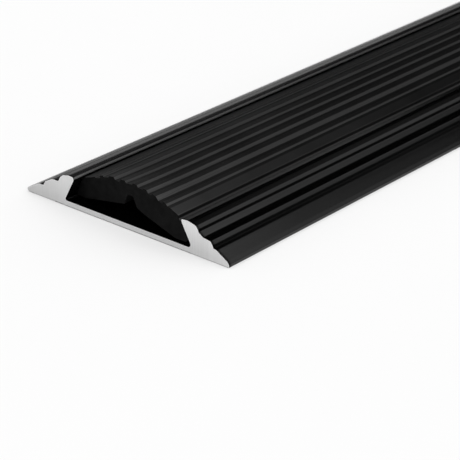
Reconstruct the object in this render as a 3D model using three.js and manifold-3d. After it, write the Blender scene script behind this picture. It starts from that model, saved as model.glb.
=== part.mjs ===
// Door threshold strip: an extruded aluminium carrier, a ribbed rubber insert
// and the countersunk screws that hold the carrier to the floor.
//
// Millimetres. X runs across the strip, Y along it and Z up. The origin is on the
// underside, on the screw line and half way along the strip.

import * as THREE from "three";
import { mergeVertices } from "three/addons/utils/BufferGeometryUtils.js";
import Module from "manifold-3d";

// ---- driving dimensions ----

const LENGTH = 914;
const WEB_TOP = 1.55;

// Between the toes the underside lifts off the floor, so the strip rests on two pads.
const RELIEF_DEPTH = 0.15;
const RELIEF_LEFT = 26;
const RELIEF_RIGHT = 22;

// The channel is undercut: its walls lean in from the floor to the mouth.
const CHANNEL_FLOOR_HALF_WIDTH = 22.09;
const WALL_LEAN = 0.56;
const WALL_CLEARANCE = 0.4;

// The crown of the insert is an arc, and its ribs stand between shallow valleys.
const CROWN_RADIUS = 43;
const CROWN_X = 1.15;
const CROWN_HEIGHT = 12.4;
const RIB_BACK = 0.35;
const RIB_TOP_ROUND = 0.3;
const RIB_ROOT_ROUND = 0.25;

// The near end of the insert is trimmed a little short and out of square.
const TRIM_RECESS = 1.65;
const TRIM_SLOPE = 0.08;

const SCREW_COUNT = 6;
const SCREW_PITCH = 160;
const SCREW_LENGTH = 25;
const SCREW_RADIUS = 2;
const HEAD_RADIUS = 3.7;
const HOLE_RADIUS = 2.25;
const POINT_LENGTH = 4.5;
const RECESS_REACH = 2.1;
const RECESS_WIDTH = 0.9;
const RECESS_DEPTH = 1.2;

const ARC_STEP = THREE.MathUtils.degToRad(18);
const ROUND_SEGMENTS = 24;
const RELIEF_ROUND = 0.1;
const WELD_DISTANCE = 1e-4;

// ---- materials ----

const anodised = new THREE.MeshStandardMaterial({ color: 0x17181a, roughness: 0.42, metalness: 0.85 });
const rubber = new THREE.MeshStandardMaterial({ color: 0x1c1c1c, roughness: 0.62, metalness: 0 });
const zincSteel = new THREE.MeshStandardMaterial({ color: 0xb9bcbf, roughness: 0.35, metalness: 1 });

// ---- outlines ----
// An outline is a closed list of corners [x, z, radius], anticlockwise.

function channelWallX(z) {
  return CHANNEL_FLOOR_HALF_WIDTH - WALL_LEAN * (z - WEB_TOP);
}

// Each flank goes from the channel floor over the lip and down its steps to the toe,
// as [distance from the screw line, z, radius].
const RIGHT_FLANK = [
  [channelWallX(WEB_TOP), WEB_TOP, 0.85],
  [channelWallX(7.35), 7.35, 0.4],
  [18.45, 8.45, 0.4],
  [20.6, 8.6, 0.35],
  [21.95, 8.38, 0.5],
  [23.35, 7.97, 0.25],
  [23.9, 7.25, 0.3],
  [24.2, 6.55, 0.3],
  [25.6, 5.62, 0.4],
  [28.0, 5.32, 0.25],
  [28.6, 4.45, 0.3],
  [28.9, 3.75, 0.05],
  [29.95, 3.52, 0.3],
  [33.3, 1.58, 0.15],
  [33.82, 0.86, 0.2],
  [33.9, 0, 0.25],
];

const LEFT_FLANK = [
  [channelWallX(WEB_TOP), WEB_TOP, 0.5],
  [channelWallX(7.9), 7.9, 0.5],
  [18.6, 8.8, 0.6],
  [20.3, 8.9, 1.2],
  [22.3, 8.42, 0.6],
  [23.25, 7.7, 0.45],
  [24.2, 6.2, 0.3],
  [26.4, 6.2, 1.5],
  [29.05, 4.75, 0.4],
  [29.85, 3.5, 0.25],
  [31.4, 3.5, 1.2],
  [36.3, 0.95, 0.45],
  [35.5, 0, 0.4],
];

function carrierOutline() {
  const relief = [
    [-RELIEF_LEFT, 0, RELIEF_ROUND],
    [RELIEF_DEPTH - RELIEF_LEFT, RELIEF_DEPTH, RELIEF_ROUND],
    [RELIEF_RIGHT - RELIEF_DEPTH, RELIEF_DEPTH, RELIEF_ROUND],
    [RELIEF_RIGHT, 0, RELIEF_ROUND],
  ];
  const right = [...RIGHT_FLANK].reverse();
  const left = LEFT_FLANK.map(([reach, z, radius]) => [-reach, z, radius]);
  return [...relief, ...right, ...left];
}

// Ribs of the insert, left to right: the middle of each rib, its top width, how far its
// top lies under the crown, the width of its right flank, and the depth of the valley there.
const RIBS = [
  { x: -14.4, top: 2.2, drop: 0.25, flank: 0.25, valley: 0.65 },
  { x: -10.45, top: 0.9, drop: 0, flank: 0.33, valley: 0.42 },
  { x: -6.55, top: 1.75, drop: 0, flank: 0.6, valley: 0.8 },
  { x: -1.65, top: 1.65, drop: 0, flank: 0.42, valley: 0.52 },
  { x: 2.28, top: 1.4, drop: 0, flank: 0.47, valley: 0.54 },
  { x: 6.0, top: 1.15, drop: 0, flank: 0.56, valley: 0.6 },
  { x: 9.25, top: 1.3, drop: 0, flank: 0.75, valley: 0.73 },
  { x: 12.9, top: 1.05, drop: 0, flank: 0.36, valley: 0.32 },
];

function crownZ(x) {
  return CROWN_HEIGHT - CROWN_RADIUS + Math.sqrt(CROWN_RADIUS ** 2 - (x - CROWN_X) ** 2);
}

function ribCorners() {
  const corners = [];
  RIBS.forEach((rib, i) => {
    const leftTop = rib.x - rib.top / 2;
    const rightTop = rib.x + rib.top / 2;
    const valleyLeft = rightTop + rib.flank;
    corners.push([leftTop, crownZ(leftTop) - rib.drop, RIB_TOP_ROUND]);
    corners.push([rightTop, crownZ(rightTop) - rib.drop, RIB_TOP_ROUND]);
    corners.push([valleyLeft, crownZ(valleyLeft) - rib.valley, RIB_ROOT_ROUND]);
    const next = RIBS[i + 1];
    if (next) {
      const valleyRight = next.x - next.top / 2 - RIB_BACK;
      corners.push([valleyRight, crownZ(valleyRight) - rib.valley, RIB_ROOT_ROUND]);
    }
  });
  return corners;
}

function insertOutline() {
  const wall = (z) => channelWallX(z) - WALL_CLEARANCE;
  const underArch = [
    [-wall(2.45), 2.45, 0.8],
    [-17.9, 2.3, 0.8],
    [-2.3, 5.65, 0.7],
    [-1.05, 8.55, 0.6],
    [1.0, 8.75, 0.75],
    [2.3, 6.0, 0.9],
    [5.0, 5.1, 1.5],
    [16.2, 2.4, 1.5],
    [wall(2.8) - 0.1, 2.75, 0.8],
  ];
  const rightShoulder = [
    [wall(7.0), 7.0, 0.5],
    [17.55, 8.2, 0.4],
    [17.4, 9.0, 0.22],
    [14.75, 10.0, 0.4],
  ];
  const leftShoulder = [
    [-16.8, 8.35, 0.4],
    [-17.6, 8.15, 0.3],
    [-wall(7.3), 7.3, 0.5],
  ];
  return [...underArch, ...rightShoulder, ...ribCorners().reverse(), ...leftShoulder];
}

// ---- geometry helpers ----

function flat([x, z]) {
  return new THREE.Vector2(x, z);
}

// Replaces every corner by an arc that is tangent to the two sides that meet there,
// and that takes less than half of either side.
function roundedShape(corners) {
  const points = [];
  corners.forEach((entry, i) => {
    const corner = flat(entry);
    const toBefore = flat(corners.at(i - 1)).sub(corner);
    const toAfter = flat(corners[(i + 1) % corners.length]).sub(corner);
    const longestReach = 0.48 * Math.min(toBefore.length(), toAfter.length());
    toBefore.normalize();
    toAfter.normalize();
    const halfAngle = Math.acos(THREE.MathUtils.clamp(toBefore.dot(toAfter), -1, 1)) / 2;
    const turn = Math.PI - 2 * halfAngle;
    const reach = Math.min(entry[2] / Math.tan(halfAngle), longestReach);
    const radius = reach * Math.tan(halfAngle);
    const middle = toBefore.clone().add(toAfter).normalize();
    const centre = corner.clone().addScaledVector(middle, radius / Math.sin(halfAngle));
    const start = corner.clone().addScaledVector(toBefore, reach).sub(centre);
    const end = corner.clone().addScaledVector(toAfter, reach).sub(centre);
    const direction = Math.sign(start.cross(end));
    const steps = Math.max(1, Math.ceil(turn / ARC_STEP));
    for (let k = 0; k <= steps; k += 1) {
      const angle = direction * turn * (k / steps);
      points.push(start.clone().rotateAround(new THREE.Vector2(), angle).add(centre));
    }
  });
  return new THREE.Shape(points);
}

// Extrudes an outline in X and Z along the whole strip.
function extrudeAlongStrip(corners) {
  const geometry = new THREE.ExtrudeGeometry(roundedShape(corners), {
    depth: LENGTH,
    bevelEnabled: false,
  });
  geometry.rotateX(Math.PI / 2);
  geometry.translate(0, LENGTH / 2, 0);
  return geometry;
}

// Turns a profile [radius, z], listed upwards, about a vertical axis.
function turned(profile) {
  const points = profile.map(([radius, z]) => new THREE.Vector2(radius, z));
  const geometry = new THREE.LatheGeometry(points, ROUND_SEGMENTS);
  geometry.rotateX(Math.PI / 2);
  return geometry;
}

const wasm = await Module();
wasm.setup();

function toSolid(geometry) {
  const bare = geometry.clone();
  bare.deleteAttribute("normal");
  bare.deleteAttribute("uv");
  const merged = mergeVertices(bare, WELD_DISTANCE);
  const vertProperties = new Float32Array(merged.attributes.position.array);
  const triVerts = new Uint32Array(merged.index.array);
  return new wasm.Manifold(new wasm.Mesh({ numProp: 3, vertProperties, triVerts }));
}

function toGeometry(solid) {
  const mesh = solid.getMesh();
  const geometry = new THREE.BufferGeometry();
  geometry.setAttribute("position", new THREE.BufferAttribute(mesh.vertProperties, 3));
  geometry.setIndex(new THREE.BufferAttribute(mesh.triVerts, 1));
  geometry.computeVertexNormals();
  return geometry;
}

function cut(geometry, cutters) {
  let solid = toSolid(geometry);
  for (const cutter of cutters) {
    solid = solid.subtract(toSolid(cutter));
  }
  return toGeometry(solid);
}

// ---- parts ----

const screwPlaces = Array.from(
  { length: SCREW_COUNT },
  (_, i) => (i - (SCREW_COUNT - 1) / 2) * SCREW_PITCH,
);

// A right-angled countersink that runs out into a clearance hole at the underside.
function countersink() {
  const bottom = -1;
  const top = WEB_TOP + 1;
  return turned([
    [0, bottom],
    [HOLE_RADIUS, bottom],
    [HOLE_RADIUS, 0],
    [HOLE_RADIUS + top, top],
    [0, top],
  ]);
}

function carrierGeometry() {
  const cutters = screwPlaces.map((y) => countersink().translate(0, y, 0));
  return cut(extrudeAlongStrip(carrierOutline()), cutters);
}

function insertGeometry() {
  const geometry = extrudeAlongStrip(insertOutline());
  const position = geometry.attributes.position;
  for (let i = 0; i < position.count; i += 1) {
    const trimmed = position.getY(i) < 0;
    const recess = TRIM_RECESS - TRIM_SLOPE * position.getX(i);
    position.setY(i, position.getY(i) + (trimmed ? recess : 0));
  }
  return geometry;
}

// Countersunk wood screw with a cross recess. Its origin is at the foot of the head.
function screwGeometry() {
  const headHeight = HEAD_RADIUS - SCREW_RADIUS;
  const tip = headHeight - SCREW_LENGTH;
  const body = turned([
    [0, tip],
    [SCREW_RADIUS, tip + POINT_LENGTH],
    [SCREW_RADIUS, 0],
    [HEAD_RADIUS, headHeight],
    [0, headHeight],
  ]);
  const bar = () => new THREE.BoxGeometry(2 * RECESS_REACH, RECESS_WIDTH, 2 * RECESS_DEPTH);
  const bars = [bar(), bar().rotateZ(Math.PI / 2)];
  return cut(body, bars.map((shape) => shape.translate(0, 0, headHeight)));
}

function named(name, geometry, material) {
  const mesh = new THREE.Mesh(geometry, material.clone());
  mesh.name = name;
  return mesh;
}

const strip = new THREE.Group();
strip.add(named("carrier_extrusion", carrierGeometry(), anodised));
strip.add(named("rubber_insert", insertGeometry(), rubber));
screwPlaces.forEach((y, i) => {
  const screw = named(`floor_screw_${i + 1}`, screwGeometry(), zincSteel);
  screw.position.set(0, y, 0);
  strip.add(screw);
});

export default strip;
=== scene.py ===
"""Looks of a door threshold strip: black anodised carrier, ribbed rubber insert and floor screws.

Metres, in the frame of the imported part: X across the strip, Y along it, Z up from the floor.
"""

import math

import bmesh
import bpy
import numpy as np
from mathutils import Matrix, Quaternion, Vector


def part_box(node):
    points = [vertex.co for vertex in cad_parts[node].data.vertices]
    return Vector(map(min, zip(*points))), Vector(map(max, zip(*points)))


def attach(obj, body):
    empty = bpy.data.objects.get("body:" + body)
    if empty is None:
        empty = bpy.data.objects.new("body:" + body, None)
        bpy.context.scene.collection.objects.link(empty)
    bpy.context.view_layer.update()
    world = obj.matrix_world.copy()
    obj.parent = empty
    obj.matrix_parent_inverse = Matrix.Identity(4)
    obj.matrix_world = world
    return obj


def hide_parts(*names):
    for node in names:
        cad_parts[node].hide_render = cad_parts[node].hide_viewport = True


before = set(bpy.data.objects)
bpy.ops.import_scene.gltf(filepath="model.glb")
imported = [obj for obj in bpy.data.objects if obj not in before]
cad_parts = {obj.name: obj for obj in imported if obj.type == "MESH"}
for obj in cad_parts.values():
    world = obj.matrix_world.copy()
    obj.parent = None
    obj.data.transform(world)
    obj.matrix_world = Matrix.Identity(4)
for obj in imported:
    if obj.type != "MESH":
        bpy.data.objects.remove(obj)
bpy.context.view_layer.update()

MM = 0.001

# ---- camera, seen from the near end of the strip ----
AZIMUTH = math.radians(41.02)
ELEVATION = math.radians(25.53)
ROLL = math.radians(-0.34)
LENS_MM = 143.2
SENSOR_MM = 36.0
CAMERA_DISTANCE = 457.7 * MM
AIM_ACROSS = 20.07 * MM
AIM_ALONG = 16.36 * MM
FOCUS_DISTANCE = 440 * MM
F_STOP = 90
CLIP_START = 0.01
CLIP_END = 50

# ---- reading and smoothing outlines ----
SAME_PLACE = 1e-6
DECIMALS = 7
SMOOTHING_PASSES = 2
LONGEST_CUT = 0.12 * MM

# Edges sharper than this stay crisp.
SHARP_ANGLE = math.radians(32)
SCREW_SHARP_ANGLE = math.radians(40)

# ---- sawn and cut ends ----
SAW_CHAMFER = 0.09 * MM
KNIFE_CHAMFER = 0.04 * MM
RING_SPACING = 20 * MM

# Extruded rubber is never quite even. Each wave has a height, a count over the length and a phase.
WAVES = [(0.020 * MM, 7, 0.0), (0.014 * MM, 17, 1.3)]

# The crown bends to the left where the insert was cut, and one rib the most.
CROWN_BEND = 0.45 * MM
LOOSE_RIB_BEND = 0.55 * MM
LOOSE_RIB_DROP = 0.22 * MM
LOOSE_RIB = (-5.0 * MM, -2.9 * MM, -0.3 * MM, 1.2 * MM)
BEND_FROM = 9.2 * MM
BEND_RISE = 2.0 * MM
BEND_REACH = 18 * MM
BEND_RINGS = [1 * MM, 2.5 * MM, 4.5 * MM, 7 * MM, 10 * MM, 14 * MM]

# ---- countersinks ----
HEAD_CLEARANCE = 0.35 * MM
THROAT_RADIUS = 2.25 * MM
COUNTERSINK_SIDES = 64
CUTTER_MARGIN = 1 * MM

# ---- screws ----
SHANK_RADIUS = 2.0 * MM
POINT_LENGTH = 4.5 * MM
THREAD_PITCH = 1.8 * MM
THREAD_CORE = 1.35 * MM
THREAD_START = 4.5 * MM
THREAD_RIDGE = 0.2
THREAD_ROWS = 20
NECK_DEPTHS = (1.2 * MM, 0.2 * MM)
NECK_RADII = (1.05 * THREAD_CORE, 1.75 * MM)
SCREW_SIDES = 40
HEAD_LAND = 0.12 * MM
HEAD_CHAMFER = 0.06 * MM
RECESS_REACH = 2.1 * MM
RECESS_WIDTH = 0.9 * MM
RECESS_DEPTH = 1.2 * MM

# The recess narrows by these factors, from well above the head down to its floor.
RECESS_REACH_TAPER = (1.55, 0.45)
RECESS_WIDTH_TAPER = (1.25, 0.75)

# Each screw was driven home to its own angle.
SCREW_TURN = math.radians(12)
SCREW_TURN_STEP = math.radians(47)

# ---- saw marks, pale bands, and painted light and shade ----

# Most of a noise texture's values lie in this range.
NOISE_RANGE = (0.3, 0.7)

# A paler band runs along the left edge of the channel mouth, fading away from the near end.
CHANNEL_MOUTH_EDGE = (-18.44 * MM, 0, 8.44 * MM)
PALE_EDGE_WIDTH = (0.18 * MM, 0.42 * MM)
PALE_EDGE_REACH = 200 * MM
PALE_EDGE_TONE = 0.13

# The rounded top beside that edge is a little paler where it faces up.
PALE_TOP_WIDTH = (1.8 * MM, 2.6 * MM)
PALE_TOP_TONE = 0.006

# Roughness of the rubber. Feet scuff the ribs' tops, and their flanks keep the die's sheen.
RUBBER_SCUFFED = 0.6
RUBBER_SHINY = 0.3

# A rib's top turns into its right flank over this range of the normal's X.
RIB_FLANKS = (0.25, 0.5)

# The saw's marks lean a little from upright.
SAW_TURN = (0, math.radians(4), 0)

# The sawn face carries painted light and shade: paler upwards, darker at its left toe,
# paler at its right toe, and darker along its lowest edge, a painted contact shadow.
SAWN_UPWARDS = (1.5 * MM, 8 * MM)
SAWN_RIGHTWARDS = (0, 20 * MM)
LEFT_TOE = (-36 * MM, -24 * MM)
RIGHT_TOE = (24 * MM, 32 * MM)
CONTACT_SHADE_EDGE = (0.1 * MM, 0.3 * MM)

# A painted highlight: a bright rim round the edges of the sawn ends.
RIM_WIDTH = 0.35 * MM
RIM_TONE = 0.4

# The anodising reflects less in a dull band along the cut edge.
DULL_BAND_WIDTH = 1.1 * MM

# Painted light near the cut end, as from a lamp close by: faces there are paler,
# and painted shade holds it back in the rubber's valleys.
NEAR_END_LIGHT_TONE = 0.02
NEAR_END_LIGHT_REACH = 105 * MM
NEAR_END_LIGHT_EDGE_REACH = 12 * MM
VALLEY_SHADE_REACH = 1.5 * MM
CARRIER_NEAR_END_LIGHT_TONE = 0.010
CARRIER_NEAR_END_LIGHT_REACH = 30 * MM

# ---- light ----
BACKDROP = 0.985
DOME = 1.16
FLOOR_TONE = 0.5
FLOOR_GLOW = 0.405

# The strip reflects a dimmer floor, except ahead of its near end and just beside its right toe.
FLOOR_IN_REFLECTIONS = 0.35
FLOOR_AHEAD = 15 * MM
FLOOR_EDGE = 35 * MM
FLOOR_BESIDE = (1.5 * MM, 3.5 * MM)
FLOOR_HALF = 6.0

# Lights seen only in reflections. Each has a name, an azimuth and an elevation in degrees,
# a distance, a size and a radiance.
SOFTBOXES = [
    ("key", 31.5, 37, 1.2, (0.7, 0.76), 0.68),
    ("key halo", -8, 43, 2.0, (0.72, 0.62), 0.12),
    ("far left glow", -76, 15, 2.0, (3.2, 0.7), 0.36),
    ("low far left glow", -60, 3, 2.0, (3.2, 0.5), 0.32),
    ("overhead", 0, 82, 2.0, (0.9, 0.9), 0.5),
    ("near left fill", -150, 25, 2.0, (1.4, 0.9), 0.3),
    ("near right fill", 150, 25, 2.0, (1.4, 0.9), 0.3),
    ("right fill", 98, 25, 2.0, (1.2, 0.9), 0.4),
]


# ---- reading the frame ----


def on_an_end(polygon):
    """Whether the face looks along the strip, as its ends and their chamfers do."""
    return abs(polygon.normal.y) > 0.5


def section_of(node):
    """The node's outline at its square far end, as an anticlockwise loop of (x, z)."""
    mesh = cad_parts[node].data
    points = np.array([v.co for v in mesh.vertices])
    far = points[:, 1].max()
    neighbours = {}
    for polygon in mesh.polygons:
        if on_an_end(polygon):
            continue
        at_far_end = [i for i in polygon.vertices if far - points[i, 1] < SAME_PLACE]
        keys = [tuple(np.round(points[i, [0, 2]], DECIMALS)) for i in at_far_end]
        if len(keys) == 2 and keys[0] != keys[1]:
            neighbours.setdefault(keys[0], []).append(keys[1])
            neighbours.setdefault(keys[1], []).append(keys[0])
    start = min(neighbours)
    loop = [start]
    previous, here = start, neighbours[start][0]
    while here != start:
        loop.append(here)
        onward = [k for k in neighbours[here] if k != previous]
        previous, here = here, onward[0]
    loop = np.array(loop)
    following = np.roll(loop, -1, axis=0)
    area = (loop[:, 0] * following[:, 1] - following[:, 0] * loop[:, 1]).sum()
    return loop if area > 0 else loop[::-1]


def near_end_plane(node):
    """(offset, slope) of the node's near end, as y = offset + slope * x."""
    points = np.array([v.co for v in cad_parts[node].data.vertices])
    near = points[points[:, 1] < points[:, 1].mean()]
    slope, offset = np.polyfit(near[:, 0], near[:, 1], 1)
    return offset, slope


# ---- outlines and lofts ----


def smoothed(loop):
    """Cuts every corner of the loop, so short facets become a fine curve and flats stay flat."""
    for _ in range(SMOOTHING_PASSES):
        following = np.roll(loop, -1, axis=0)
        side = following - loop
        length = np.linalg.norm(side, axis=1)[:, None]
        cut = np.minimum(length / 4, LONGEST_CUT) / length
        loop = np.stack([loop + side * cut, following - side * cut], axis=1).reshape(-1, 2)
    return loop


def inset(loop, distance):
    """The loop moved inwards by distance."""
    before = loop - np.roll(loop, 1, axis=0)
    after = np.roll(loop, -1, axis=0) - loop
    along = before / np.linalg.norm(before, axis=1)[:, None]
    along += after / np.linalg.norm(after, axis=1)[:, None]
    along /= np.linalg.norm(along, axis=1)[:, None]
    inward = np.stack([-along[:, 1], along[:, 0]], axis=1)
    return loop + inward * distance


def loft(name, rings):
    """A closed mesh through rings of points, with the first and the last ring capped."""
    count = len(rings[0])
    faces = [list(range(count))]
    for r in range(len(rings) - 1):
        low, high = r * count, (r + 1) * count
        for i in range(count):
            j = (i + 1) % count
            faces.append([low + j, low + i, high + i, high + j])
    last = (len(rings) - 1) * count
    faces.append([last + i for i in reversed(range(count))])
    mesh = bpy.data.meshes.new(name)
    mesh.from_pydata(np.concatenate(rings).tolist(), [], faces)
    mesh.update()
    return mesh


def ring(loop, y):
    """The loop's points at y, which is one value or one value per point."""
    return np.stack([loop[:, 0], np.broadcast_to(y, len(loop)), loop[:, 1]], axis=1)


def strip_rings(loop, near_y, far_y, chamfer, shape=None, extra_rings=()):
    """Rings from the near end to the far end, with a small chamfer at both."""
    length = far_y - float(np.mean(near_y))
    shares = np.linspace(0, 1, max(2, round(length / RING_SPACING)) + 1)
    shares = sorted({*shares, *(distance / length for distance in extra_rings)})
    low, high = near_y + chamfer, far_y - chamfer
    outlines = [shape(loop, share) if shape else loop for share in shares]
    rings = [ring(outline, low + (high - low) * share) for outline, share in zip(outlines, shares)]
    first = ring(inset(outlines[0], chamfer), near_y)
    last = ring(inset(outlines[-1], chamfer), far_y)
    return [first, *rings, last]


# ---- objects ----


def shown(name, mesh, *materials):
    obj = bpy.data.objects.new(name, mesh)
    bpy.context.scene.collection.objects.link(obj)
    for material in materials:
        obj.data.materials.append(material)
    return obj


def finish_shading(obj, sharp_angle=SHARP_ANGLE):
    """Smooth shading with crisp edges, and normals that keep the flats flat."""
    obj.data.shade_smooth()
    obj.data.set_sharp_from_angle(angle=sharp_angle)
    modifier = obj.modifiers.new("flat faces stay flat", "WEIGHTED_NORMAL")
    modifier.keep_sharp = True


def subtract(obj, cutter, overlapping=False):
    """Cuts cutter's shape out of obj and removes the cutter. Say if its own solids overlap."""
    modifier = obj.modifiers.new("cut", "BOOLEAN")
    modifier.object = cutter
    modifier.operation = "DIFFERENCE"
    modifier.solver = "EXACT"
    modifier.use_self = overlapping
    modifier.material_mode = "TRANSFER"
    graph = bpy.context.evaluated_depsgraph_get()
    result = bpy.data.meshes.new_from_object(obj.evaluated_get(graph))
    obj.modifiers.clear()
    old = obj.data
    obj.data = result
    bpy.data.meshes.remove(old)
    bpy.data.objects.remove(cutter)


def turned(profile, sides):
    """A closed mesh from a profile of (radius, z), which runs upwards from the axis to the axis."""
    bm = bmesh.new()
    rows = []
    for radius, z in profile:
        if radius == 0:
            rows.append([bm.verts.new((0, 0, z))])
            continue
        angles = [2 * math.pi * k / sides for k in range(sides)]
        rows.append([bm.verts.new((radius * math.cos(a), radius * math.sin(a), z)) for a in angles])
    for low, high in zip(rows, rows[1:]):
        for k in range(sides):
            j = (k + 1) % sides
            corners = [low[k % len(low)], low[j % len(low)]]
            corners += [high[j % len(high)], high[k % len(high)]]
            bm.faces.new(list(dict.fromkeys(corners)))
    mesh = bpy.data.meshes.new("turned")
    bm.to_mesh(mesh)
    bm.free()
    return mesh


# ---- materials ----


class Nodes:
    """Short calls for building one material's node tree."""

    def __init__(self, name):
        self.material = bpy.data.materials.new(name)
        self.material.use_nodes = True
        self.tree = self.material.node_tree
        self.tree.nodes.clear()

    def add(self, kind, **settings):
        node = self.tree.nodes.new(kind)
        for key, value in settings.items():
            setattr(node, key, value)
        return node

    def link(self, source, target):
        self.tree.links.new(source, target)

    def put(self, node, **inputs):
        """Sets or links a node's inputs by name, with _ for a space."""
        for key, value in inputs.items():
            socket = node.inputs[key.replace("_", " ")]
            if isinstance(value, bpy.types.NodeSocket):
                self.link(value, socket)
            else:
                socket.default_value = value
        return node

    def position(self, scale=(1, 1, 1), turn=(0, 0, 0)):
        """The point in the strip's own frame, stretched by scale."""
        place = self.add("ShaderNodeTexCoord")
        mapping = self.add("ShaderNodeMapping")
        self.put(mapping, Vector=place.outputs["Object"], Scale=scale, Rotation=turn)
        return mapping.outputs["Vector"]

    def noise(self, scale, detail=3, stretch=(1, 1, 1), roughness=0.5, turn=(0, 0, 0)):
        node = self.add("ShaderNodeTexNoise")
        self.put(node, Vector=self.position(stretch, turn), Scale=scale)
        self.put(node, Detail=detail, Roughness=roughness)
        return node.outputs["Fac"]

    def span(self, value, low, high, source=(0, 1)):
        """value, moved from the source range to low..high and kept inside it."""
        node = self.add("ShaderNodeMapRange")
        self.put(node, Value=value, From_Min=source[0], From_Max=source[1], To_Min=low, To_Max=high)
        return node.outputs["Result"]

    def math(self, operation, a, b=0.0):
        node = self.add("ShaderNodeMath", operation=operation)
        for socket, value in zip(node.inputs, (a, b)):
            if isinstance(value, bpy.types.NodeSocket):
                self.link(value, socket)
            else:
                socket.default_value = value
        return node.outputs["Value"]

    def plus(self, a, b):
        return self.math("ADD", a, b)

    def times(self, a, b):
        return self.math("MULTIPLY", a, b)

    def facing(self):
        """The direction the surface faces."""
        return self.add("ShaderNodeNewGeometry").outputs["Normal"]

    def part_of(self, vector, axis):
        """One coordinate of a vector."""
        node = self.add("ShaderNodeSeparateXYZ")
        self.put(node, Vector=vector)
        return node.outputs[axis]

    def grey(self, value):
        """A neutral colour from one number."""
        node = self.add("ShaderNodeCombineColor")
        self.put(node, Red=value, Green=value, Blue=value)
        return node.outputs["Color"]

    def bump(self, height, distance, strength=1.0, normal=None):
        node = self.add("ShaderNodeBump")
        self.put(node, Height=height, Distance=distance, Strength=strength)
        if normal:
            self.link(normal, node.inputs["Normal"])
        return node.outputs["Normal"]

    def finish(self, **inputs):
        shader = self.add("ShaderNodeBsdfPrincipled")
        self.put(shader, **inputs)
        output = self.add("ShaderNodeOutputMaterial")
        self.link(shader.outputs["BSDF"], output.inputs["Surface"])
        return self.material


def lines_along_strip(n, per_metre):
    """Fine parallel streaks that run the length of the strip, as extrusion dies leave."""
    return n.noise(per_metre, 2, stretch=(1, 0.004, 1))


def from_near_end(n, near, beyond, reach, start=0.0):
    """A value that goes from near to beyond, between start and reach from the strip's near end."""
    along = n.part_of(n.position(), "Y")
    return n.span(along, near, beyond, (NEAR_END.y + start, NEAR_END.y + reach))


def anodised_black():
    n = Nodes("satin_black_anodising")
    die_lines = lines_along_strip(n, 2600)
    broad_lines = lines_along_strip(n, 420)
    cloud = n.noise(30, 4)
    edge = n.add("ShaderNodeVectorMath", operation="DISTANCE")
    n.link(n.position((1, 0, 1)), edge.inputs[0])
    edge.inputs[1].default_value = CHANNEL_MOUTH_EDGE
    # A paler band along the left edge of the channel mouth, fading away from the near end.
    pale_edge = n.span(edge.outputs["Value"], PALE_EDGE_TONE, 0.0, PALE_EDGE_WIDTH)
    fading = from_near_end(n, 1.0, 0.35, PALE_EDGE_REACH)
    tone = n.plus(n.span(cloud, 0.0008, 0.0014), n.times(pale_edge, fading))
    # The rounded top beside that edge is a little paler where it faces up.
    pale_top = n.span(edge.outputs["Value"], PALE_TOP_TONE, 0.0, PALE_TOP_WIDTH)
    sideways, upward = (n.part_of(n.facing(), axis) for axis in "XZ")
    tone = n.plus(tone, n.times(pale_top, n.span(upward, 0.0, 1.0, (0.8, 0.95))))
    # Painted light: faces turned to the right are paler near the cut end, short of the dull band.
    painted_light = from_near_end(n, CARRIER_NEAR_END_LIGHT_TONE, 0.0, CARRIER_NEAR_END_LIGHT_REACH)
    painted_light = n.times(painted_light, n.span(sideways, 0.0, 1.0, (0.3, 0.5)))
    painted_light = n.times(painted_light, n.span(sideways, 1.0, 0.0, (0.83, 0.88)))
    # A dull band along the cut edge reflects less, and the painted light stops short of it.
    clear_of_dull_band = from_near_end(n, 0.0, 1.0, DULL_BAND_WIDTH, 0.35 * DULL_BAND_WIDTH)
    tone = n.plus(tone, n.times(painted_light, clear_of_dull_band))
    roughness = n.plus(n.span(broad_lines, 0.18, 0.26, NOISE_RANGE), n.span(cloud, -0.02, 0.02))
    normal = n.bump(die_lines, 0.012 * MM, 0.5)
    normal = n.bump(n.noise(9000, 2), 0.004 * MM, 0.4, normal)
    return n.finish(
        Base_Color=n.grey(tone),
        Metallic=0.0,
        Roughness=roughness,
        IOR=1.5,
        Specular_IOR_Level=n.span(clear_of_dull_band, 0.08, 0.5),
        Normal=normal,
    )


def sawn_aluminium():
    n = Nodes("sawn_aluminium")
    marks = n.noise(2600, 3, stretch=(1, 1, 0.03), turn=SAW_TURN)
    broad = n.noise(420, 2, stretch=(1, 1, 0.05), turn=SAW_TURN)
    grain = n.noise(7000, 2)
    tone = n.plus(n.span(marks, 0.52, 0.57, NOISE_RANGE), n.span(broad, -0.012, 0.012, NOISE_RANGE))
    # Painted light and shade: paler upwards and rightwards, darker at the left toe, and a painted
    # contact shadow along the lowest edge.
    across, height = (n.part_of(n.position(), axis) for axis in "XZ")
    paler = n.times(n.span(height, 0.0, 0.11, SAWN_UPWARDS), n.span(across, 1.0, 1.6, SAWN_RIGHTWARDS))
    tone = n.plus(tone, paler)
    tone = n.plus(tone, n.span(across, -0.07, 0.0, LEFT_TOE))
    tone = n.plus(tone, n.span(across, 0.0, 0.06, RIGHT_TOE))
    tone = n.times(tone, n.span(height, 0.25, 1.0, CONTACT_SHADE_EDGE))
    # A painted highlight along the rounded edges of the sawn ends.
    rounded = n.put(n.add("ShaderNodeBevel", samples=8), Radius=RIM_WIDTH)
    flatness = n.add("ShaderNodeVectorMath", operation="DOT_PRODUCT")
    n.link(rounded.outputs["Normal"], flatness.inputs[0])
    n.link(n.facing(), flatness.inputs[1])
    tone = n.plus(tone, n.span(flatness.outputs["Value"], RIM_TONE, 0.0, (0.85, 1.0)))
    normal = n.bump(marks, 0.02 * MM, 0.35)
    normal = n.bump(grain, 0.006 * MM, 0.5, normal)
    return n.finish(
        Base_Color=n.grey(tone),
        Metallic=0.45,
        Roughness=n.span(marks, 0.38, 0.52),
        Normal=normal,
    )


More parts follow.
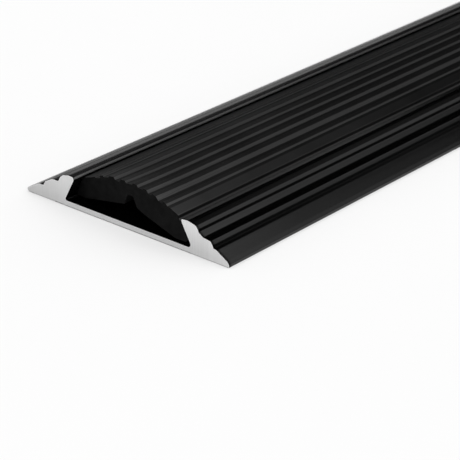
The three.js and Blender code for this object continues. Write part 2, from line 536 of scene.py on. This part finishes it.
def drilled_aluminium():
    n = Nodes("drilled_aluminium")
    rings = n.noise(5200, 2, stretch=(0.05, 0.05, 1))
    return n.finish(
        Base_Color=n.grey(n.span(rings, 0.55, 0.68)),
        Metallic=0.5,
        Roughness=n.span(rings, 0.25, 0.4),
        Normal=n.bump(rings, 0.01 * MM, 0.6),
    )


def rubber_skin():
    n = Nodes("black_rubber_skin")
    streaks = lines_along_strip(n, 2200)
    cloud = n.noise(60, 5)
    grain = n.noise(8000, 3)
    tone = n.plus(n.span(cloud, 0.0045, 0.0075, NOISE_RANGE), n.span(streaks, -0.001, 0.001))
    sideways, upward = (n.part_of(n.facing(), axis) for axis in "XZ")
    # Painted light near the cut end, on upward faces, left-facing faces and right flanks, held back in
    # the valleys as painted shade.
    painted_light = from_near_end(n, NEAR_END_LIGHT_TONE, 0.0, NEAR_END_LIGHT_REACH)
    painted_light = n.plus(painted_light, from_near_end(n, NEAR_END_LIGHT_TONE, 0.0, NEAR_END_LIGHT_EDGE_REACH))
    painted_light = n.times(painted_light, n.span(upward, 0.0, 1.0, (0.3, 0.6)))
    sheltered = n.put(n.add("ShaderNodeAmbientOcclusion"), Distance=VALLEY_SHADE_REACH)
    painted_light = n.times(painted_light, n.span(sheltered.outputs["AO"], 0.0, 1.0, (0.55, 0.95)))
    on_left_side = n.span(sideways, 0.65, 0.3, (-0.2, 0.05))
    on_flanks = n.span(sideways, 0.0, 0.85, (0.24, 0.36))
    painted_light = n.times(painted_light, n.math("MAXIMUM", on_left_side, on_flanks))
    tone = n.plus(tone, n.times(painted_light, n.span(cloud, 0.8, 1.2)))
    roughness = n.span(sideways, RUBBER_SCUFFED, RUBBER_SHINY, RIB_FLANKS)
    normal = n.bump(streaks, 0.02 * MM, 0.5)
    normal = n.bump(grain, 0.012 * MM, 0.5, normal)
    return n.finish(
        Base_Color=n.grey(tone),
        Roughness=n.plus(roughness, n.span(streaks, -0.04, 0.04, NOISE_RANGE)),
        IOR=1.5,
        Specular_IOR_Level=n.span(sideways, 0.07, 0.38, RIB_FLANKS),
        Normal=normal,
    )


def rubber_cut():
    n = Nodes("black_rubber_cut_face")
    blotches = n.noise(420, 5, roughness=0.6)
    strokes = n.noise(900, 3, stretch=(0.25, 1, 1), turn=(0, math.radians(-18), 0))
    grain = n.noise(6500, 3)
    normal = n.bump(blotches, 0.08 * MM, 0.5)
    normal = n.bump(strokes, 0.03 * MM, 0.5, normal)
    normal = n.bump(grain, 0.02 * MM, 0.6, normal)
    return n.finish(
        Base_Color=n.grey(n.span(blotches, 0.0015, 0.0055, NOISE_RANGE)),
        Roughness=n.span(strokes, 0.6, 0.75),
        Specular_IOR_Level=0.05,
        Normal=normal,
    )


def zinc_plate():
    n = Nodes("zinc_plated_steel")
    cloud = n.noise(900, 4)
    colour = n.add("ShaderNodeMix", data_type="RGBA")
    n.link(cloud, colour.inputs["Factor"])
    colour.inputs["A"].default_value = (0.56, 0.58, 0.62, 1)
    colour.inputs["B"].default_value = (0.66, 0.65, 0.60, 1)
    return n.finish(
        Base_Color=colour.outputs["Result"],
        Metallic=0.5,
        Roughness=n.span(cloud, 0.22, 0.38, NOISE_RANGE),
        Normal=n.bump(n.noise(5000, 3), 0.01 * MM, 0.4),
    )


# ---- carrier ----


def countersink_cutter():
    """The six countersinks, sized from the screws' own boxes, as one mesh."""
    bm = bmesh.new()
    for name in SCREWS:
        low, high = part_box(name)
        radius = (high.x - low.x) / 2 + HEAD_CLEARANCE
        below, above = -CUTTER_MARGIN, high.z + CUTTER_MARGIN
        profile = [
            (0, below),
            (THROAT_RADIUS, below),
            (THROAT_RADIUS, high.z + THROAT_RADIUS - radius),
            (above - high.z + radius, above),
            (0, above),
        ]
        one = turned(profile, COUNTERSINK_SIDES)
        one.transform(Matrix.Translation(((low + high) / 2).xy.to_3d()))
        bm.from_mesh(one)
        bpy.data.meshes.remove(one)
    mesh = bpy.data.meshes.new("countersinks")
    bm.to_mesh(mesh)
    bm.free()
    return mesh


def paint_ends(obj, index):
    """Gives the faces of both ends, chamfers included, the material at index."""
    for polygon in obj.data.polygons:
        if on_an_end(polygon):
            polygon.material_index = index


def build_carrier():
    node = "carrier_extrusion"
    low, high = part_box(node)
    loop = smoothed(section_of(node))
    rings = strip_rings(loop, low.y, high.y, SAW_CHAMFER)
    carrier = shown("carrier", loft("carrier", rings), MATERIALS["anodised"], MATERIALS["sawn"])
    paint_ends(carrier, 1)
    subtract(carrier, shown("cutter", countersink_cutter(), MATERIALS["drilled"]))
    finish_shading(carrier)
    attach(carrier, "carrier")
    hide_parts(node)


# ---- insert ----


def rubber_shape(loop, share):
    """The outline at a share of the length: slightly wavy, and bent to the left at the near end.

    The waves only lower it, so it stays inside its own box.
    """
    turns = 2 * math.pi * share
    lift = sum(size * (math.sin(count * turns + phase) - 1) for size, count, phase in WAVES)
    height = (loop[:, 1] - loop[:, 1].min()) / np.ptp(loop[:, 1])
    moved = loop.copy()
    moved[:, 1] += lift * height
    strip_length = -2 * NEAR_END.y
    fading = max(0.0, 1 - share * strip_length / BEND_REACH) ** 2
    crown = np.clip((loop[:, 1] - BEND_FROM) / BEND_RISE, 0, 1)
    loose = np.interp(loop[:, 0], LOOSE_RIB, (0, 1, 1, 0))
    moved[:, 0] -= (CROWN_BEND + LOOSE_RIB_BEND * loose) * crown * fading
    moved[:, 1] -= LOOSE_RIB_DROP * loose * crown * fading
    return moved


def build_insert():
    node = "rubber_insert"
    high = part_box(node)[1]
    loop = smoothed(section_of(node))
    offset, slope = near_end_plane(node)
    near_y = offset + slope * loop[:, 0]
    rings = strip_rings(loop, near_y, high.y, KNIFE_CHAMFER, rubber_shape, BEND_RINGS)
    insert = shown("insert", loft("insert", rings), MATERIALS["rubber"], MATERIALS["rubber_cut"])
    paint_ends(insert, 1)
    finish_shading(insert)
    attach(insert, "insert")
    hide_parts(node)


# ---- screws ----


def thread_radius(z, angle, tip, neck):
    """Radius of the threaded shank at height z: a core with a helical ridge, pointed at the tip."""
    phase = (z / THREAD_PITCH - angle / (2 * math.pi)) % 1
    ridge = max(0.0, 1 - abs(phase - 0.5) / THREAD_RIDGE)
    start = min(1.0, max(0.0, (neck - z) / THREAD_PITCH))
    taper = min(1.0, (z - tip) / POINT_LENGTH)
    core = THREAD_CORE * taper
    return core + (SHANK_RADIUS * taper - core) * ridge * start


def screw_mesh(low, high):
    """A countersunk wood screw on the Z axis, from the box of its CAD node."""
    head = (high.x - low.x) / 2
    foot = high.z - (head - SHANK_RADIUS)
    neck = foot - THREAD_START
    tip = low.z
    step = THREAD_PITCH / THREAD_ROWS
    rows = [(z, None) for z in np.arange(tip + step, neck, step)]
    rows += [(neck, THREAD_CORE)]
    rows += [(foot - depth, radius) for depth, radius in zip(NECK_DEPTHS, NECK_RADII)]
    rows += [(foot, SHANK_RADIUS), (high.z - HEAD_LAND, head)]
    rows += [(high.z - HEAD_CHAMFER / 2, head), (high.z, head - HEAD_CHAMFER)]
    angles = [2 * math.pi * k / SCREW_SIDES for k in range(SCREW_SIDES)]
    bm = bmesh.new()
    point = bm.verts.new((0, 0, tip))
    crown = bm.verts.new((0, 0, high.z))
    loops = []
    for z, radius in rows:
        radii = [radius or thread_radius(z, a, tip, neck) for a in angles]
        polar = zip(radii, angles)
        loops.append([bm.verts.new((r * math.cos(a), r * math.sin(a), z)) for r, a in polar])
    for k in range(SCREW_SIDES):
        j = (k + 1) % SCREW_SIDES
        bm.faces.new((point, loops[0][j], loops[0][k]))
        for lower, upper in zip(loops, loops[1:]):
            bm.faces.new((lower[k], lower[j], upper[j], upper[k]))
        bm.faces.new((loops[-1][k], loops[-1][j], crown))
    mesh = bpy.data.meshes.new("screw")
    bm.to_mesh(mesh)
    bm.free()
    return mesh


def cross_recess(top):
    """A tapered cross that cuts the driver recess into a head whose top is at z = top."""
    bm = bmesh.new()
    for turn in (0, math.pi / 2):
        made = bmesh.ops.create_cube(bm, size=2)
        for vert in made["verts"]:
            deep = vert.co.z < 0
            vert.co.x *= RECESS_REACH * RECESS_REACH_TAPER[deep]
            vert.co.y *= RECESS_WIDTH / 2 * RECESS_WIDTH_TAPER[deep]
            vert.co.z *= RECESS_DEPTH
        bmesh.ops.rotate(bm, verts=made["verts"], matrix=Matrix.Rotation(turn, 3, "Z"))
        bmesh.ops.translate(bm, verts=made["verts"], vec=(0, 0, top))
    mesh = bpy.data.meshes.new("recess")
    bm.to_mesh(mesh)
    bm.free()
    return mesh


def build_screws():
    low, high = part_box(SCREWS[0])
    pattern = shown("pattern", screw_mesh(low, high), MATERIALS["zinc"])
    cutter = shown("cutter", cross_recess(high.z), MATERIALS["zinc"])
    subtract(pattern, cutter, overlapping=True)
    for i, name in enumerate(SCREWS):
        low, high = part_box(name)
        screw = shown(f"screw_{i + 1}", pattern.data.copy())
        centre = (low + high) / 2
        turn = Matrix.Rotation(SCREW_TURN + i * SCREW_TURN_STEP, 4, "Z")
        screw.data.transform(Matrix.Translation((centre.x, centre.y, 0)) @ turn)
        finish_shading(screw, SCREW_SHARP_ANGLE)
        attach(screw, "carrier")
        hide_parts(name)
    bpy.data.objects.remove(pattern)


# ---- stage ----


def build_floor():
    """A pale floor with soft shadows. It can't be seen from below."""
    n = Nodes("pale_floor")
    paper = n.noise(14, 3)
    tone = n.span(paper, FLOOR_TONE - 0.005, FLOOR_TONE + 0.005)
    place = n.add("ShaderNodeNewGeometry").outputs["Position"]
    near = NEAR_END.y
    ahead = n.span(n.part_of(place, "Y"), 1.0, FLOOR_IN_REFLECTIONS, (near, near + FLOOR_AHEAD))
    from_edge = n.math("ABSOLUTE", n.math("SUBTRACT", n.part_of(place, "X"), FLOOR_EDGE))
    beside = n.span(from_edge, 1.0, FLOOR_IN_REFLECTIONS, FLOOR_BESIDE)
    reflected = n.math("MAXIMUM", ahead, beside)
    path = n.add("ShaderNodeLightPath")
    dimming = n.add("ShaderNodeMix", data_type="FLOAT")
    n.link(path.outputs["Is Glossy Ray"], dimming.inputs["Factor"])
    dimming.inputs["A"].default_value = 1.0
    n.link(reflected, dimming.inputs["B"])
    matt = n.add("ShaderNodeBsdfDiffuse")
    n.put(matt, Color=n.grey(n.times(tone, dimming.outputs["Result"])))
    glow = n.add("ShaderNodeEmission")
    n.put(glow, Strength=n.times(dimming.outputs["Result"], FLOOR_GLOW))
    lit = n.add("ShaderNodeAddShader")
    n.link(matt.outputs["BSDF"], lit.inputs[0])
    n.link(glow.outputs["Emission"], lit.inputs[1])
    clear = n.add("ShaderNodeBsdfTransparent")
    side = n.add("ShaderNodeNewGeometry")
    mix = n.add("ShaderNodeMixShader")
    n.link(side.outputs["Backfacing"], mix.inputs["Fac"])
    n.link(lit.outputs["Shader"], mix.inputs[1])
    n.link(clear.outputs["BSDF"], mix.inputs[2])
    output = n.add("ShaderNodeOutputMaterial")
    n.link(mix.outputs["Shader"], output.inputs["Surface"])
    corners = [(x * FLOOR_HALF, y * FLOOR_HALF, 0) for x, y in ((-1, -1), (1, -1), (1, 1), (-1, 1))]
    mesh = bpy.data.meshes.new("floor")
    mesh.from_pydata(corners, [], [(0, 1, 2, 3)])
    shown("floor", mesh, n.material)


def softbox(name, azimuth, elevation, distance, size, radiance):
    """A light seen only in reflections. Azimuth 0 is beyond the far end, and 90 is on the right."""
    light = bpy.data.lights.new(name, "AREA")
    light.shape = "RECTANGLE"
    light.size, light.size_y = size
    light.energy = radiance * math.pi * size[0] * size[1]
    obj = bpy.data.objects.new(name, light)
    bpy.context.scene.collection.objects.link(obj)
    a, e = math.radians(azimuth), math.radians(elevation)
    away = Vector((math.sin(a) * math.cos(e), math.cos(a) * math.cos(e), math.sin(e)))
    obj.location = NEAR_END + away * distance
    obj.rotation_mode = "QUATERNION"
    obj.rotation_quaternion = away.to_track_quat("Z", "Y")
    obj.visible_camera = False
    obj.visible_diffuse = False


def build_world():
    """An even white dome that lights matt surfaces and the backdrop, with no reflections."""
    world = bpy.data.worlds.new("studio")
    bpy.context.scene.world = world
    world.use_nodes = True
    tree = world.node_tree
    tree.nodes.clear()
    seen = tree.nodes.new("ShaderNodeBackground")
    seen.inputs["Color"].default_value = (1, 1, 1, 1)
    seen.inputs["Strength"].default_value = BACKDROP
    lighting = tree.nodes.new("ShaderNodeBackground")
    lighting.inputs["Color"].default_value = (1, 1, 1, 1)
    lighting.inputs["Strength"].default_value = DOME
    path = tree.nodes.new("ShaderNodeLightPath")
    mix = tree.nodes.new("ShaderNodeMixShader")
    output = tree.nodes.new("ShaderNodeOutputWorld")
    tree.links.new(path.outputs["Is Camera Ray"], mix.inputs["Fac"])
    tree.links.new(lighting.outputs["Background"], mix.inputs[1])
    tree.links.new(seen.outputs["Background"], mix.inputs[2])
    tree.links.new(mix.outputs["Shader"], output.inputs["Surface"])
    world.cycles_visibility.glossy = False


def build_camera():
    aim = NEAR_END + Vector((AIM_ACROSS, AIM_ALONG, 0))
    away = Vector(
        (
            math.sin(AZIMUTH) * math.cos(ELEVATION),
            -math.cos(AZIMUTH) * math.cos(ELEVATION),
            math.sin(ELEVATION),
        )
    )
    camera = bpy.data.objects.new("camera", bpy.data.cameras.new("camera"))
    bpy.context.scene.collection.objects.link(camera)
    camera.location = aim + away * CAMERA_DISTANCE
    camera.rotation_mode = "QUATERNION"
    camera.rotation_quaternion = away.to_track_quat("Z", "Y") @ Quaternion((0, 0, 1), ROLL)
    camera.data.lens = LENS_MM
    camera.data.sensor_width = SENSOR_MM
    camera.data.dof.use_dof = True
    camera.data.dof.focus_distance = FOCUS_DISTANCE
    camera.data.dof.aperture_fstop = F_STOP
    camera.data.clip_start = CLIP_START
    camera.data.clip_end = CLIP_END
    bpy.context.scene.camera = camera


# ---- the scene ----

SCREWS = sorted(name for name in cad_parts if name.startswith("floor_screw"))
NEAR_END = Vector((0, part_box("carrier_extrusion")[0].y, 0))
MATERIALS = {
    "anodised": anodised_black(),
    "sawn": sawn_aluminium(),
    "drilled": drilled_aluminium(),
    "rubber": rubber_skin(),
    "rubber_cut": rubber_cut(),
    "zinc": zinc_plate(),
}

build_carrier()
build_insert()
build_screws()
build_floor()
build_world()
for box in SOFTBOXES:
    softbox(*box)
build_camera()

bpy.context.scene.view_settings.view_transform = "Standard"
